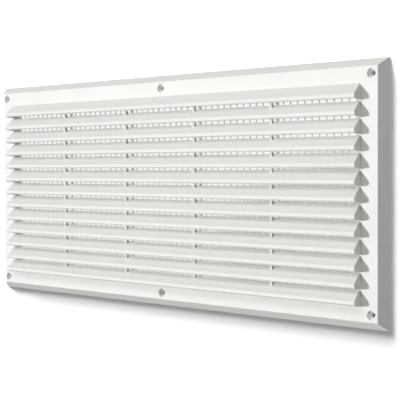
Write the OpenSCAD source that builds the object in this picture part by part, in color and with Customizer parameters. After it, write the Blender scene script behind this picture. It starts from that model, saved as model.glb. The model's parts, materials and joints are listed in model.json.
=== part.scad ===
// Surface-mounted ventilation grille with fixed hooded louvres, four mullions and a rear guard.
// X runs along the width, +Z is up and the front faces -Y.
// The origin is the centre of the back, in the plane of the wall.

/* [Border] */
// Overall width on the wall
overall_w = 450; // [400:5:500]
// Overall height on the wall
overall_h = 200; // [190:1:215]
// Height of the flat front above the wall
front_d = 7.1; // [6.5:0.1:9]
// Width of the bevel round the front, seen from the front
bevel_w = 6; // [4:0.5:8]
// Thickness of the front plate
plate_t = 2.2; // [1.8:0.1:2.6]
// Thickness of the bevelled skirt, measured across
skirt_t = 2.2; // [1.8:0.1:2.8]
// Radius of the four outer corners
corner_r = 1.5; // [1:0.1:3]
// Radius along the edge between the front and the bevel
edge_r = 0.8; // [0.4:0.1:1.2]
// Flat front above the first louvre
border_top = 12.3; // [12:0.1:14]
// Flat front below the last louvre
border_bottom = 11.1; // [11:0.1:13]
// Flat front beside the ends of the louvres
border_side = 14; // [13:0.5:18]

/* [Louvres] */
// Number of louvres
louvre_count = 13; // [12:1:14]
// How far the lips stand in front of the border
louvre_out = 9.2; // [8:0.1:11]
// Thickness of the sloping face
blade_t = 1.6; // [1.2:0.1:2]
// Height of the flat front of the lip
lip_h = 2.5; // [2:0.1:3]
// How far the lower edge of the flat stands in front of the crease above it
lip_rake = 0.5; // [0.2:0.1:0.8]
// Height and depth of the slant below the flat
lip_cut = 1.1; // [0.8:0.1:1.2]
// Thickness of the lip
lip_t = 1.6; // [1.4:0.1:2]
// Radius of the crease between the sloping face and the lip
crease_r = 0.5; // [0.3:0.1:1]
// Radius along the top of a louvre, where the air passes over it
crest_r = 0.4; // [0.2:0.1:0.5]
// Height of the air slot from a lip down to the top line of the next louvre
slot_h = 1.25; // [1:0.05:2.5]
// Thickness of the end cheeks
cheek_t = 1.8; // [1.2:0.1:2.4]
// Free height between a cheek and the louvre below it
cheek_gap = 0.4; // [0.3:0.1:1.2]
// Lean of the cheeks outwards towards their lower corner
cheek_lean = 12; // [4:1:14]
// Draft of the cheeks inwards towards the front
cheek_draft = 4.5; // [2:0.5:8]

/* [Mullions] */
// Number of bays between the ends
bay_count = 5; // [4:1:6]
// Thickness of a mullion
mullion_t = 2; // [1.4:0.1:3]
// Depth of a mullion from front to back
mullion_d = 2.8; // [2.2:0.1:4]
// Distance of the mullion's back edge from the plane of the border
mullion_set = 0.4; // [0.2:0.1:1]
// Play of a mullion in the louvres
mullion_play = 0.05; // [0.02:0.01:0.15]

/* [Guard] */
// Overall depth of the guard
guard_d = 2.4; // [2:0.1:2.8]
// Distance of the guard's back from the wall
guard_set = 0.4; // [0.3:0.1:0.8]
// Overlap of the guard on its seat round the window
guard_lap = 1.2; // [0.8:0.1:1.6]
// Play round the guard in its seat
guard_play = 0.2; // [0.1:0.05:0.3]
// Width of the guard's outer rim
guard_rim = 3; // [2.5:0.1:4]
// Width of the guard's bar behind each mullion
guard_bar = 2; // [1.6:0.1:3]
// Thickness of a mesh panel
mesh_t = 0.8; // [0.6:0.1:1.2]
// Width of a mesh strand
strand_w = 0.9; // [0.7:0.1:1.4]
// Ledge under the edge of a mesh panel
mesh_lap = 0.6; // [0.4:0.1:0.8]
// Play round a mesh panel in its ledge
mesh_play = 0.1; // [0.05:0.05:0.2]
// Mesh cells across one bay
mesh_cells = 12; // [8:1:14]
// Mesh cells in the height of one louvre
mesh_rows = 2; // [1:1:2]

/* [Fixing] */
// Diameter of the screw hole
screw_d = 3.9; // [3.5:0.1:4.5]
// Diameter of the countersink at the front
sink_d = 7.3; // [6.5:0.1:8.2]
// Depth of the straight recess above the countersink
sink_set = 0.8; // [0.3:0.1:1.2]
// Distance of the holes from the edge of the flat front
screw_inset = 5.5; // [5:0.1:6]
// Diameter of a screw boss
boss_d = 8; // [7:0.1:8.4]
// Thickness of the wall round the guard
seat_wall = 1.6; // [1.2:0.1:2]
// Thickness of the stiffening ribs in the border
rib_t = 1.2; // [0.8:0.1:1.6]
// Gap between the back of the ribs and the wall
rib_gap = 1.5; // [1:0.1:2.5]
// Louvres from one side rib to the next
rib_step = 3; // [2:1:5]
// Length of a snap nib
nib_l = 12; // [6:1:20]
// How far a snap nib stands over the guard
nib_out = 0.6; // [0.4:0.1:0.8]

/* [Hidden] */
$fn = 48;
slop = 1;
round_steps = 3;
front_y = -front_d;
front_w = overall_w - 2 * bevel_w;
front_h = overall_h - 2 * bevel_w;
louvre_len = front_w - 2 * border_side;
field_top = front_h / 2 - border_top;
field_bottom = border_bottom - front_h / 2;
pitch = (field_top - field_bottom) / louvre_count;
bay_w = louvre_len / bay_count;
// Section of a louvre, measured forward from the border and down from its top line
face_drop = pitch - slot_h - lip_cut - lip_h;
crease_out = louvre_out - lip_rake;
slope = atan2(face_drop, crease_out);
rake = atan2(lip_rake, lip_h);
blade_v = blade_t / cos(slope);
lip_end = face_drop + lip_h;
lip_bottom = lip_end + lip_cut;
cheek_foot = pitch - cheek_gap;
// Window in the front plate
window_half = louvre_len / 2 - cheek_t;
window_top = field_top - blade_v;
window_bottom = field_bottom;
// Guard and its seat
guard_half = window_half + guard_lap;
guard_top = window_top + guard_lap;
guard_bottom = window_bottom - guard_lap;
guard_y = -guard_set - guard_d;
opening_low = guard_bottom + guard_rim;
opening_high = guard_top - guard_rim;
mesh_pitch = bay_w / mesh_cells;
row_pitch = pitch / mesh_rows;
first_row = field_top - lip_bottom - slot_h / 2 + 1.5 * row_pitch;
screw_x = front_w / 2 - screw_inset;
screw_z = front_h / 2 - screw_inset;
screw_places = [for (x = [-screw_x, 0, screw_x], z = [-screw_z, screw_z]) [x, z]];
mullion_xs = [for (i = [1:bay_count - 1]) -louvre_len / 2 + i * bay_w];
bay_centres = [for (i = [1:bay_count]) -louvre_len / 2 + (i - 0.5) * bay_w];
louvre_names = [for (i = [1:louvre_count]) str("louvre_", i < 10 ? "0" : "", i)];
mullion_names = [for (i = [1:bay_count - 1]) str("mullion_", i)];
panel_names = [for (i = [1:bay_count]) str("mesh_panel_", i)];

// Height of the top line of louvre i, counted from 1 at the top
function louvre_z(i) = field_top - (i - 1) * pitch;

// Depth outline of the bevelled border, with a rounded edge between front and bevel
module bevel_outline(half) {
    turn = atan2(front_d, bevel_w);
    set = edge_r * tan(turn / 2);
    corner = half - bevel_w;
    polygon([
        [-half, 0], [half, 0],
        [corner + set * cos(turn), front_d - set * sin(turn)],
        [corner - set, front_d],
        [set - corner, front_d],
        [-corner - set * cos(turn), front_d - set * sin(turn)]
    ]);
    for (s = [-1, 1]) translate([s * (corner - set), front_d - edge_r]) circle(edge_r);
}

// Hollow behind the front plate, with the skirt's wall left round it
module hollow_outline(half) {
    deep = front_d - plate_t;
    foot = half - skirt_t;
    head = foot - bevel_w * deep / front_d;
    polygon([[-foot, 0], [foot, 0], [head, deep], [-head, deep]]);
}

// Outline seen from above, extruded over the height
module along_height() {
    translate([0, 0, -overall_h]) linear_extrude(2 * overall_h) mirror([0, 1]) children();
}

// Outline seen from the side, extruded over the width
module along_width() {
    rotate([90, 0, 90]) translate([0, 0, -overall_w]) linear_extrude(2 * overall_w)
        rotate(90) children();
}

// Rectangle with round corners, as seen from the front
module round_rect(w, h, r) {
    square([w - 2 * r, h], center = true);
    square([w, h - 2 * r], center = true);
    for (x = [-1, 1], z = [-1, 1]) translate([x * (w / 2 - r), z * (h / 2 - r)]) circle(r);
}

// Block from its left, bottom and back bounds to its right, top and front bounds
module block(x0, x1, y0, y1, z0, z1) {
    translate([x0, y0, z0]) cube([x1 - x0, y1 - y0, z1 - z0]);
}

// The border's outer shape, before it is hollowed and cut
module bevelled_block() {
    intersection() {
        along_height() bevel_outline(overall_w / 2);
        along_width() bevel_outline(overall_h / 2);
        rotate([90, 0, 0]) linear_extrude(front_d) round_rect(overall_w, overall_h, corner_r);
    }
}

module border_hollow() {
    intersection() {
        along_height() hollow_outline(overall_w / 2);
        along_width() hollow_outline(overall_h / 2);
    }
}

// Wall and ledge round the guard
module guard_seat() {
    out = guard_play + seat_wall;
    difference() {
        block(-guard_half - out, guard_half + out, front_y + plate_t / 2, 0,
              guard_bottom - out, guard_top + out);
        block(-guard_half - guard_play, guard_half + guard_play, guard_y, slop,
              guard_bottom - guard_play, guard_top + guard_play);
        window_cut();
    }
}

// Window in the front plate, which the louvres cover
module window_cut() {
    block(-window_half, window_half, front_y - slop, slop, window_bottom, window_top);
}

// Wedge that the guard snaps behind, with its root sunk in the seat wall
module nib() {
    root = seat_wall / 2;
    translate([-nib_l / 2, 0, 0]) rotate([90, 0, 90]) linear_extrude(nib_l)
        polygon([[-guard_set, -root], [-guard_set, nib_out], [0, 0], [0, -root]]);
}

// Snap nibs round the seat, one above and one below each bay and two at each side
module nibs() {
    wall_x = guard_half + guard_play;
    for (x = bay_centres) {
        translate([x, 0, guard_bottom - guard_play]) nib();
        translate([x, 0, guard_top + guard_play]) rotate([0, 180, 0]) nib();
    }
    for (s = [-1, 1], z = [-1, 1] * (guard_top - guard_bottom) / 4)
        translate([s * wall_x, 0, z + (guard_top + guard_bottom) / 2]) rotate([0, -90 * s, 0]) nib();
}

// Short ribs between the seat wall and the skirt
module border_ribs() {
    half = rib_t / 2;
    front = front_y + plate_t / 2;
    seat = guard_play + seat_wall / 2;
    intersection() {
        bevelled_block();
        union() {
            for (x = mullion_xs) {
                block(x - half, x + half, front, -rib_gap, guard_top + seat, overall_h / 2);
                block(x - half, x + half, front, -rib_gap, -overall_h / 2, guard_bottom - seat);
            }
            for (i = [rib_step:rib_step:louvre_count - 1]) {
                z = louvre_z(i + 1);
                block(guard_half + seat, overall_w / 2, front, -rib_gap, z - half, z + half);
                block(-overall_w / 2, -guard_half - seat, front, -rib_gap, z - half, z + half);
            }
        }
    }
}

// Screw hole with a right-angled countersink that is set below the front, open at both ends
module screw_hole() {
    sink_h = (sink_d - screw_d) / 2;
    sink_top = front_d - sink_set;
    rotate([90, 0, 0]) {
        translate([0, 0, -slop]) cylinder(d = screw_d, h = front_d + 2 * slop);
        translate([0, 0, sink_top - sink_h]) cylinder(d1 = screw_d, d2 = sink_d, h = sink_h);
        translate([0, 0, sink_top]) cylinder(d = sink_d, h = sink_set + slop);
    }
}

// Hollow moulded border with its window, seat for the guard, ribs, bosses and screw holes
module frame() {
    color("white") difference() {
        union() {
            difference() {
                bevelled_block();
                border_hollow();
            }
            guard_seat();
            nibs();
            border_ribs();
            for (p = screw_places)
                translate([p[0], 0, p[1]]) rotate([90, 0, 0])
                    cylinder(d = boss_d, h = front_d - plate_t / 2);
        }
        window_cut();
        block(-guard_half - guard_play, guard_half + guard_play, guard_y, -guard_set,
              guard_bottom - guard_play, guard_top + guard_play);
        for (p = screw_places) translate([p[0], 0, p[1]]) screw_hole();
    }
}

// Points of an arc round a centre, from one angle to another
function arc(centre, r, from, to, steps) =
    [for (k = [0:steps]) let (a = from + (to - from) * k / steps) centre + r * [cos(a), sin(a)]];

// Direction in the side outlines, as an angle up from straight forward
function towards(angle) = [cos(angle), sin(angle)];

// Side outline of a whole louvre with its cheek: x is forward, y is up from the top line
module hood_outline() {
    up = towards(90 - slope);
    out = towards(rake);
    centre = [crease_out, -face_drop] - crease_r * (up + out) / (1 + up * out);
    polygon(concat(
        [[0, 0]],
        arc(centre, crease_r, 90 - slope, rake, round_steps),
        [[louvre_out, -lip_end], [louvre_out - lip_cut, -lip_bottom], [0, -cheek_foot]]
    ));
}

// Side outline of the space under the face and behind the lip
module throat_outline() {
    high = crease_out - lip_t;
    low = louvre_out - lip_t;
    polygon([
        [-slop, slop * tan(slope) - blade_v], [high, -high * tan(slope) - blade_v],
        [low, -lip_bottom], [low, -2 * pitch], [-slop, -2 * pitch]
    ]);
}

// Side outline of what rounding the top line takes away
module crest_outline() {
    up = towards(90 - slope);
    centre = crest_r * [1, -tan(slope) - 1 / cos(slope)];
    polygon(concat(
        [[-slop, centre[1]]],
        arc(centre, crest_r, 180, 90 - slope, round_steps),
        [centre + (crest_r + slop) * up, [-slop, 2 * slop]]
    ));
}

// Extrudes a side outline over the length of the louvre, at the plane of the border
module over_length(len) {
    translate([-len / 2, front_y, 0]) rotate([90, 0, 90]) linear_extrude(len)
        mirror([1, 0]) children();
}

// Everything beyond the two leaning end planes, each moved inwards by the given distance
module end_planes(inward) {
    reach = 3 * pitch;
    for (side = [0, 1]) mirror([side, 0, 0])
        translate([louvre_len / 2 - inward, front_y - louvre_out, -lip_end])
            rotate([0, -cheek_lean, 0]) rotate([0, 0, -cheek_draft])
                translate([0, -reach, -reach]) cube(2 * reach);
}

// Sloping face, lip and two leaning cheeks, with a round top and notches for the mullions if slotted
module hood(slotted) {
    difference() {
        over_length(louvre_len + 2 * pitch) hood_outline();
        difference() {
            union() {
                over_length(louvre_len + 2 * pitch) throat_outline();
                if (slotted) over_length(louvre_len + 2 * pitch) crest_outline();
            }
            end_planes(cheek_t);
        }
        end_planes(0);
        if (slotted) for (x = mullion_xs)
            block(x - mullion_t / 2 - mullion_play, x + mullion_t / 2 + mullion_play,
                  front_y - mullion_set - mullion_d - mullion_play, front_y - mullion_set + mullion_play,
                  -lip_bottom, slop);
    }
}

module louvre(i) {
    color("whitesmoke") translate([0, 0, louvre_z(i)]) hood(i > 1);
}

// Bar that runs through all the louvres, with a foot on the window's edge at each end
module mullion(i) {
    x = mullion_xs[i - 1];
    front = front_y - mullion_set - mullion_d;
    foot_h = slot_h;
    foot_back = front_y + plate_t;
    color("white") intersection() {
        union() {
            block(x - mullion_t / 2, x + mullion_t / 2, front, front_y - mullion_set,
                  window_bottom, field_top);
            block(x - mullion_t / 2, x + mullion_t / 2, front, foot_back,
                  window_bottom, window_bottom + foot_h);
            block(x - mullion_t / 2, x + mullion_t / 2, front, foot_back,
                  window_top - foot_h, window_top);
        }
        translate([0, 0, field_top]) over_length(louvre_len)
            polygon([
                [-front_d, front_d * tan(slope) - blade_v - mullion_play],
                [louvre_out, -louvre_out * tan(slope) - blade_v - mullion_play],
                [louvre_out, -louvre_count * pitch - slop],
                [-front_d, -louvre_count * pitch - slop]
            ]);
    }
}

// Left and right edges of the guard's opening in bay i
function opening_left(i) =
    i == 1 ? -guard_half + guard_rim : bay_centres[i - 1] - (bay_w - guard_bar) / 2;
function opening_right(i) =
    i == bay_count ? guard_half - guard_rim : bay_centres[i - 1] + (bay_w - guard_bar) / 2;

// Rim and bars with one opening for each mesh panel, and a ledge round every opening
module guard_frame() {
    color("gainsboro") difference() {
        block(-guard_half, guard_half, guard_y, -guard_set, guard_bottom, guard_top);
        for (i = [1:bay_count]) {
            block(opening_left(i), opening_right(i), guard_y - slop, slop, opening_low, opening_high);
            block(opening_left(i) - mesh_lap, opening_right(i) + mesh_lap,
                  guard_y - slop, guard_y + mesh_t, opening_low - mesh_lap, opening_high + mesh_lap);
        }
    }
}

// Mesh of one bay: cells cut out of a thin sheet, with its rows placed clear of the air slots
module mesh_panel(i) {
    left = opening_left(i) - mesh_lap + mesh_play;
    right = opening_right(i) + mesh_lap - mesh_play;
    low = opening_low - mesh_lap + mesh_play;
    high = opening_high + mesh_lap - mesh_play;
    xs = [for (k = [0:mesh_cells]) bay_centres[i - 1] + (k - mesh_cells / 2) * mesh_pitch];
    zs = [for (k = [0:louvre_count * mesh_rows]) first_row - k * row_pitch];
    clear = strand_w / 2;
    color("silver") translate([0, guard_y + mesh_t, 0]) rotate([90, 0, 0]) linear_extrude(mesh_t)
        difference() {
            translate([left, low]) square([right - left, high - low]);
            for (k = [0:mesh_cells - 1], m = [0:len(zs) - 2]) {
                x0 = max(xs[k] + clear, opening_left(i));
                x1 = min(xs[k + 1] - clear, opening_right(i));
                z0 = max(zs[m + 1] + clear, opening_low);
                z1 = min(zs[m] - clear, opening_high);
                if (x1 > x0 && z1 > z0) translate([x0, z0]) square([x1 - x0, z1 - z0]);
            }
        }
}

frame();
for (i = [1:louvre_count])
    louvre(i);
for (i = [1:bay_count - 1])
    mullion(i);
guard_frame();
for (i = [1:bay_count])
    mesh_panel(i);
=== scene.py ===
import json
from math import cos, radians, sin

import bmesh
import bpy
from mathutils import Matrix, Vector

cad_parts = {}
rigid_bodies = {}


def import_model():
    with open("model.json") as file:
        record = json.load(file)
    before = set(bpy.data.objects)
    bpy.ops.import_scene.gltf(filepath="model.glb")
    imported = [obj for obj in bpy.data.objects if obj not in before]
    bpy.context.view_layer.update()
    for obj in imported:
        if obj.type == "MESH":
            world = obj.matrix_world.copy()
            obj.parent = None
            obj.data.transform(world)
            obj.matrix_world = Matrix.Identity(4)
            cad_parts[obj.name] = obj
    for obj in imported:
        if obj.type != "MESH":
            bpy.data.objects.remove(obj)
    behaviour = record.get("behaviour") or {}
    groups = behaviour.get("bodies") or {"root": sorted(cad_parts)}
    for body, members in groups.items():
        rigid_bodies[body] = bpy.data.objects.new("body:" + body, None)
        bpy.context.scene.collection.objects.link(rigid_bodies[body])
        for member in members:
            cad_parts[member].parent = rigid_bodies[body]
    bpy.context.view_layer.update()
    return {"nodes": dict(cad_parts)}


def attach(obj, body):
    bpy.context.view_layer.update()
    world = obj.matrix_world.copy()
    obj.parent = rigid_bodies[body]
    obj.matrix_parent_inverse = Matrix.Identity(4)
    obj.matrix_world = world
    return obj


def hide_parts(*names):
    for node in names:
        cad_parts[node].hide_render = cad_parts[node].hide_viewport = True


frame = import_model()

# The border frame: one moulding in white impact-resistant plastic, hollow at the back, which six screws
# hold to the wall. Its front is flat and finely spark-eroded, and a bevel runs down to the wall all round.
white_light = (0.846, 0.848, 0.825, 1.0)
white_deep = (0.826, 0.829, 0.801, 1.0)
cloud_size = 0.09
gloss_size = 0.022
grain_size = 0.0006
grain_height = 0.00003
plastic_ior = 1.5
sheen_noise = (0.3, 0.7)
sheen_range = (0.55, 0.65)
border_edge = 0.0002
sharp_angle = radians(28)
flat_angle = radians(0.5)
weld_gap = 0.000002


def speckle(nodes, links, size, detail):
    """Noise with features of a given size in metres, fixed to the piece."""
    place = nodes.new("ShaderNodeTexCoord")
    noise = nodes.new("ShaderNodeTexNoise")
    noise.inputs["Scale"].default_value = 1 / size
    noise.inputs["Detail"].default_value = detail
    links.new(place.outputs["Object"], noise.inputs["Vector"])
    return noise.outputs["Fac"]


def moulded_plastic(name, light, deep, sheen, grain):
    """Moulded plastic: faint clouds in the colour, uneven gloss and the fine grain of the mould."""
    plastic = bpy.data.materials.new(name)
    plastic.use_nodes = True
    nodes, links = plastic.node_tree.nodes, plastic.node_tree.links
    shader = nodes["Principled BSDF"]
    shader.inputs["IOR"].default_value = plastic_ior
    cloud = nodes.new("ShaderNodeMix")
    cloud.data_type = "RGBA"
    cloud.inputs["A"].default_value = deep
    cloud.inputs["B"].default_value = light
    links.new(speckle(nodes, links, cloud_size, 3), cloud.inputs["Factor"])
    links.new(cloud.outputs["Result"], shader.inputs["Base Color"])
    gloss = nodes.new("ShaderNodeMapRange")
    gloss.inputs["From Min"].default_value = sheen_noise[0]
    gloss.inputs["From Max"].default_value = sheen_noise[1]
    gloss.inputs["To Min"].default_value = sheen[0]
    gloss.inputs["To Max"].default_value = sheen[1]
    links.new(speckle(nodes, links, gloss_size, 4), gloss.inputs["Value"])
    links.new(gloss.outputs["Result"], shader.inputs["Roughness"])
    bump = nodes.new("ShaderNodeBump")
    bump.inputs["Strength"].default_value = 1
    bump.inputs["Distance"].default_value = grain
    links.new(speckle(nodes, links, grain_size, 2), bump.inputs["Height"])
    links.new(bump.outputs["Normal"], shader.inputs["Normal"])
    return plastic


def mould(node, edge, plastic, pick=None):
    """A moulding in the shape of a CAD node, with the small radius that a mould leaves on every outer edge."""
    shape = bmesh.new()
    shape.from_mesh(frame["nodes"][node].data)
    bmesh.ops.remove_doubles(shape, verts=shape.verts, dist=weld_gap)
    bmesh.ops.dissolve_limit(shape, angle_limit=flat_angle, verts=shape.verts, edges=shape.edges)
    outer = [
        e for e in shape.edges
        if e.is_manifold and e.calc_face_angle_signed() > sharp_angle and (pick is None or pick(e))
    ]
    bmesh.ops.bevel(
        shape, geom=outer, offset=edge, offset_type="OFFSET", affect="EDGES",
        segments=2, profile=0.5, clamp_overlap=True, material=-1,
    )
    for face in shape.faces:
        face.smooth = True
    for line in shape.edges:
        line.smooth = not line.is_manifold or line.calc_face_angle() < sharp_angle
    mesh = bpy.data.meshes.new(node)
    shape.to_mesh(mesh)
    shape.free()
    mesh.materials.append(plastic)
    piece = bpy.data.objects.new(node + "_moulded", mesh)
    bpy.context.scene.collection.objects.link(piece)
    even = piece.modifiers.new("even_shading", "WEIGHTED_NORMAL")
    even.keep_sharp = True
    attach(piece, "root")
    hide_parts(node)
    return piece


white_plastic = moulded_plastic("white_plastic", white_light, white_deep, sheen_range, grain_height)
mould("frame", border_edge, white_plastic)

# Thirteen fixed louvres of the same white plastic. Each is a thin hood whose face slopes down to an upright
# lip, and a leaning cheek closes both ends.
louvre_edge = 0.00025
for name in sorted(n for n in frame["nodes"] if n.startswith("louvre_")):
    mould(name, louvre_edge, white_plastic)

# Four upright mullions, thin white fins that run through the louvres and carry them between the ends.
mullion_edge = 0.0002
for name in sorted(n for n in frame["nodes"] if n.startswith("mullion_")):
    mould(name, mullion_edge, white_plastic)

# The guard: a rim with a bar behind each mullion, moulded in a slightly greyer plastic and snapped into the
# back of the frame.
guard_light = (0.80, 0.80, 0.78, 1.0)
guard_deep = (0.77, 0.77, 0.75, 1.0)
guard_sheen = (0.45, 0.56)
guard_edge = 0.0002
guard_plastic = moulded_plastic("guard_plastic", guard_light, guard_deep, guard_sheen, grain_height)
mould("guard_frame", guard_edge, guard_plastic)

# Five mesh panels, one behind each bay, moulded in the guard's plastic: thin strands round square cells
# that keep insects out.
strand_edge = 0.00015
for name in sorted(n for n in frame["nodes"] if n.startswith("mesh_panel_")):
    mould(name, strand_edge, guard_plastic)

# The wall that the grille is screwed to, painted white. It shows only from its front, so that the back of the
# grille stays in view, and its own lamp casts the soft shadow. Behind the window the wall glows with painted
# light, and painted shade makes that glow dimmer low on the right.
wall_half = 1.6
wall_gap = 0.0004
wall_colour = (0.80, 0.80, 0.80, 1.0)
# Painted light: the patch behind the window glows though it is no lamp, and painted shade dims it low on the
# right.
painted_glow_half = (0.2, 0.08)
painted_glow_strength = 0.93
painted_shade_strength = 0.5
painted_shade_place = (0.2, -0.055)
painted_shade_reach = (0.17, 0.105)
painted_shade_core = 0.65
wall_lamp_side = Vector((-1.0, -0.55, 1.15))
wall_lamp_spread = radians(24)
wall_lamp_power = 14.4


def stage_sheet(name, shape):
    """A flat piece of the stage."""
    mesh = bpy.data.meshes.new(name)
    sheet = bpy.data.objects.new(name, mesh)
    shape.to_mesh(mesh)
    shape.free()
    bpy.context.scene.collection.objects.link(sheet)
    return sheet


def square(half):
    """A level square round the origin."""
    shape = bmesh.new()
    bmesh.ops.create_grid(shape, x_segments=1, y_segments=1, size=half)
    return shape


wall = stage_sheet("wall", square(wall_half))
wall.rotation_euler = (radians(90), 0, 0)
wall.location = (0, wall_gap, 0)
paint = bpy.data.materials.new("wall_paint")
paint.use_nodes = True
nodes, links = paint.node_tree.nodes, paint.node_tree.links
nodes.remove(nodes["Principled BSDF"])
front = nodes.new("ShaderNodeBsdfDiffuse")
front.inputs["Color"].default_value = wall_colour
place = nodes.new("ShaderNodeTexCoord")
spot = nodes.new("ShaderNodeSeparateXYZ")
links.new(place.outputs["Object"], spot.inputs["Vector"])
inside = []
for axis, half in zip("XY", painted_glow_half):
    reach = nodes.new("ShaderNodeMath")
    reach.operation = "ABSOLUTE"
    links.new(spot.outputs[axis], reach.inputs[0])
    within = nodes.new("ShaderNodeMath")
    within.operation = "LESS_THAN"
    within.inputs[1].default_value = half
    links.new(reach.outputs["Value"], within.inputs[0])
    inside.append(within)
painted_glow_mask = nodes.new("ShaderNodeMath")
painted_glow_mask.operation = "MULTIPLY"
links.new(inside[0].outputs["Value"], painted_glow_mask.inputs[0])
links.new(inside[1].outputs["Value"], painted_glow_mask.inputs[1])
# Painted shade: the glow falls from its full strength to a lower one inside an oval low on the right.
scaled = nodes.new("ShaderNodeMapping")
scaled.inputs["Location"].default_value = (-painted_shade_place[0] / painted_shade_reach[0], -painted_shade_place[1] / painted_shade_reach[1], 0)
scaled.inputs["Scale"].default_value = (1 / painted_shade_reach[0], 1 / painted_shade_reach[1], 0)
links.new(place.outputs["Object"], scaled.inputs["Vector"])
distance = nodes.new("ShaderNodeVectorMath")
distance.operation = "LENGTH"
links.new(scaled.outputs["Vector"], distance.inputs[0])
level = nodes.new("ShaderNodeMapRange")
level.interpolation_type = "SMOOTHSTEP"
level.inputs["From Min"].default_value = painted_shade_core
level.inputs["To Min"].default_value = painted_shade_strength
level.inputs["To Max"].default_value = painted_glow_strength
links.new(distance.outputs["Value"], level.inputs["Value"])
glow = nodes.new("ShaderNodeEmission")
links.new(level.outputs["Result"], glow.inputs["Strength"])
with_painted_glow = nodes.new("ShaderNodeMixShader")
links.new(painted_glow_mask.outputs["Value"], with_painted_glow.inputs["Fac"])
links.new(front.outputs["BSDF"], with_painted_glow.inputs[1])
links.new(glow.outputs["Emission"], with_painted_glow.inputs[2])
clear = nodes.new("ShaderNodeBsdfTransparent")
ray = nodes.new("ShaderNodeLightPath")
side = nodes.new("ShaderNodeNewGeometry")
from_front = nodes.new("ShaderNodeMath")
from_front.operation = "SUBTRACT"
from_front.use_clamp = True
links.new(ray.outputs["Is Camera Ray"], from_front.inputs[0])
links.new(side.outputs["Backfacing"], from_front.inputs[1])
shown = nodes.new("ShaderNodeMixShader")
links.new(from_front.outputs["Value"], shown.inputs["Fac"])
links.new(clear.outputs["BSDF"], shown.inputs[1])
links.new(with_painted_glow.outputs["Shader"], shown.inputs[2])
links.new(shown.outputs["Shader"], nodes["Material Output"].inputs["Surface"])
wall.data.materials.append(paint)

only_wall = bpy.data.collections.new("only_wall")
only_wall.objects.link(wall)
wall_light = bpy.data.lights.new("wall_lamp", "SUN")
wall_light.energy = wall_lamp_power
wall_light.angle = wall_lamp_spread
wall_lamp = bpy.data.objects.new("wall_lamp", wall_light)
wall_lamp.rotation_euler = wall_lamp_side.to_track_quat("Z", "Y").to_euler()
wall_lamp.light_linking.receiver_collection = only_wall
bpy.context.scene.collection.objects.link(wall_lamp)

# Dark discs on the wall behind the six screw holes: painted shade that stands for the dark insides of the
# holes drilled for the screws. Like the wall they show only from the front.
drilled_places = [(x, z) for x in (-0.2135, 0, 0.2135) for z in (-0.0885, 0.0885)]
drilled_radius = 0.0035
drilled_sides = 24
# Painted shade: a near-black colour that darkens the bores of the screw holes.
painted_hole_shade_colour = (0.03, 0.03, 0.03, 1.0)
hole_shade_shape = bmesh.new()
for x, z in drilled_places:
    bmesh.ops.create_circle(
        hole_shade_shape, cap_ends=True, segments=drilled_sides, radius=drilled_radius,
        matrix=Matrix.Translation((x, z, 0)),
    )
hole_shade_discs = stage_sheet("drilled_holes", hole_shade_shape)
hole_shade_discs.rotation_euler = wall.rotation_euler
hole_shade_discs.location = (0, wall_gap / 2, 0)
hole_shade_paint = bpy.data.materials.new("painted_hole_shade_material")
hole_shade_paint.use_nodes = True
nodes, links = hole_shade_paint.node_tree.nodes, hole_shade_paint.node_tree.links
nodes.remove(nodes["Principled BSDF"])
hole_shade_bsdf = nodes.new("ShaderNodeBsdfDiffuse")
hole_shade_bsdf.inputs["Color"].default_value = painted_hole_shade_colour
clear = nodes.new("ShaderNodeBsdfTransparent")
side = nodes.new("ShaderNodeNewGeometry")
shown = nodes.new("ShaderNodeMixShader")
links.new(side.outputs["Backfacing"], shown.inputs["Fac"])
links.new(hole_shade_bsdf.outputs["BSDF"], shown.inputs[1])
links.new(clear.outputs["BSDF"], shown.inputs[2])
links.new(shown.outputs["Shader"], nodes["Material Output"].inputs["Surface"])
hole_shade_discs.data.materials.append(hole_shade_paint)

# A plain pale floor, well below the grille. The camera sees it a little lighter than the lamps make it.
floor_drop = 0.6
floor_half = 1.6
floor_colour = (0.9, 0.9, 0.9, 1.0)
floor_roughness = 0.9
floor_lift = 0.4
floor = stage_sheet("floor", square(floor_half))
floor.location = (0, 0, -floor_drop)
floor_paint = bpy.data.materials.new("floor_paint")
floor_paint.use_nodes = True
nodes, links = floor_paint.node_tree.nodes, floor_paint.node_tree.links
paint_shader = nodes["Principled BSDF"]
paint_shader.inputs["Base Color"].default_value = floor_colour
paint_shader.inputs["Roughness"].default_value = floor_roughness
paint_shader.inputs["Emission Color"].default_value = floor_colour
ray = nodes.new("ShaderNodeLightPath")
lift = nodes.new("ShaderNodeMath")
lift.operation = "MULTIPLY"
lift.inputs[1].default_value = floor_lift
links.new(ray.outputs["Is Camera Ray"], lift.inputs[0])
links.new(lift.outputs["Value"], paint_shader.inputs["Emission Strength"])
floor.data.materials.append(floor_paint)

# The camera stands to the right of the grille and level with its middle.
camera_place = (0.6355, -0.6595, 0.0225)
camera_turn = (radians(88.078), radians(0.283), radians(42.128))
camera_lens = 94.75
camera_sensor = 36
lens = bpy.data.cameras.new("camera")
lens.sensor_fit = "HORIZONTAL"
lens.sensor_width = camera_sensor
lens.lens = camera_lens
camera = bpy.data.objects.new("camera", lens)
camera.location = camera_place
camera.rotation_euler = camera_turn
bpy.context.scene.collection.objects.link(camera)
bpy.context.scene.camera = camera

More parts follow.
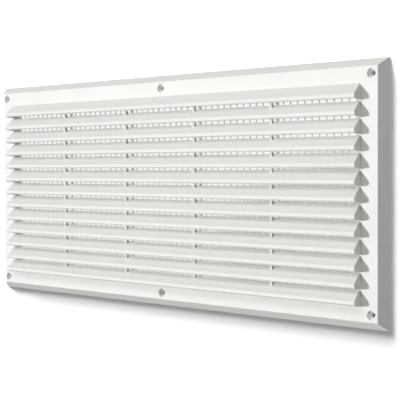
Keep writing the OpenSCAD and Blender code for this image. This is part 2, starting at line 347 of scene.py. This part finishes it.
# Soft studio light: a distant, nearly level key lamp from the left that models the louvres and stays off the
# wall, a soft lamp high in front, a broad strip above, a lamp behind for the pieces at the back, and a pale
# surround that is brightest beside the wall.
key_turn = radians(37)
key_rise = radians(0.5)
key_spread = radians(7)
key_power = 2.31
high_rise = radians(45)
high_spread = radians(20)
high_power = 0.5
strip_place = Vector((0.0, -0.52, 0.30))
strip_size = (1.8, 0.25)
strip_power = 1.6
rear_place = Vector((0.2, 1.1, 0.45))
rear_size = (0.8, 0.8)
rear_power = 5
surround_front = 0.0
surround_side = 0.37
surround_rear = 0.3
surround_steps = (0.49, 0.51, 0.75, 0.85)


def aim(lamp, towards_light):
    """Turns a lamp so that it shines at the middle of the grille."""
    lamp.rotation_euler = towards_light.to_track_quat("Z", "Y").to_euler()
    bpy.context.scene.collection.objects.link(lamp)
    return lamp


def softbox(name, place, size, power):
    """A rectangular lamp that faces the middle of the grille."""
    light = bpy.data.lights.new(name, "AREA")
    light.shape = "RECTANGLE"
    light.size, light.size_y = size
    light.energy = power
    lamp = bpy.data.objects.new(name, light)
    lamp.location = place
    return aim(lamp, place)


def distant_lamp(name, turn, rise, spread, power):
    """A far lamp, turned from straight in front towards the left and raised above level."""
    light = bpy.data.lights.new(name, "SUN")
    light.energy = power
    light.angle = spread
    towards_light = Vector((-sin(turn) * cos(rise), -cos(turn) * cos(rise), sin(rise)))
    return aim(bpy.data.objects.new(name, light), towards_light)


key_lamp = distant_lamp("key_lamp", key_turn, key_rise, key_spread, key_power)
distant_lamp("high_lamp", 0, high_rise, high_spread, high_power)
softbox("strip_lamp", strip_place, strip_size, strip_power)
rear_lamp = softbox("rear_lamp", rear_place, rear_size, rear_power)

all_but_wall = bpy.data.collections.new("all_but_wall")
all_but_wall.objects.link(wall)
all_but_wall.collection_objects[0].light_linking.link_state = "EXCLUDE"
key_lamp.light_linking.receiver_collection = all_but_wall
back_pieces = bpy.data.collections.new("back_pieces")
for piece in bpy.data.objects:
    if piece.name.startswith(("frame_moulded", "guard_frame_moulded", "mesh_panel_")):
        back_pieces.objects.link(piece)
rear_lamp.light_linking.receiver_collection = back_pieces

world = bpy.data.worlds.new("surround")
bpy.context.scene.world = world
world.use_nodes = True
nodes, links = world.node_tree.nodes, world.node_tree.links
direction = nodes.new("ShaderNodeTexCoord")
depth = nodes.new("ShaderNodeSeparateXYZ")
links.new(direction.outputs["Generated"], depth.inputs["Vector"])
depth_share = nodes.new("ShaderNodeMapRange")
depth_share.inputs["From Min"].default_value = -1
links.new(depth.outputs["Y"], depth_share.inputs["Value"])
glow_by_depth = nodes.new("ShaderNodeValToRGB")
ramp = glow_by_depth.color_ramp.elements
ramp[0].position = surround_steps[0]
ramp[0].color = (surround_front, surround_front, surround_front, 1)
ramp[1].position = surround_steps[3]
ramp[1].color = (surround_rear, surround_rear, surround_rear, 1)
for position in surround_steps[1:3]:
    ramp.new(position).color = (surround_side, surround_side, surround_side, 1)
links.new(depth_share.outputs["Result"], glow_by_depth.inputs["Fac"])
around = nodes["Background"]
around.inputs["Strength"].default_value = 1
links.new(glow_by_depth.outputs["Color"], around.inputs["Color"])
white = nodes.new("ShaderNodeBackground")
white.inputs["Color"].default_value = (1, 1, 1, 1)
white.inputs["Strength"].default_value = 1
ray = nodes.new("ShaderNodeLightPath")
seen = nodes.new("ShaderNodeMath")
seen.operation = "MAXIMUM"
links.new(ray.outputs["Is Camera Ray"], seen.inputs[0])
links.new(ray.outputs["Is Glossy Ray"], seen.inputs[1])
seen_through = nodes.new("ShaderNodeMath")
seen_through.operation = "MAXIMUM"
links.new(seen.outputs["Value"], seen_through.inputs[0])
links.new(ray.outputs["Is Transmission Ray"], seen_through.inputs[1])
backdrop = nodes.new("ShaderNodeMixShader")
links.new(seen_through.outputs["Value"], backdrop.inputs["Fac"])
links.new(around.outputs["Background"], backdrop.inputs[1])
links.new(white.outputs["Background"], backdrop.inputs[2])
links.new(backdrop.outputs["Shader"], nodes["World Output"].inputs["Surface"])
bpy.context.scene.view_settings.view_transform = "Standard"
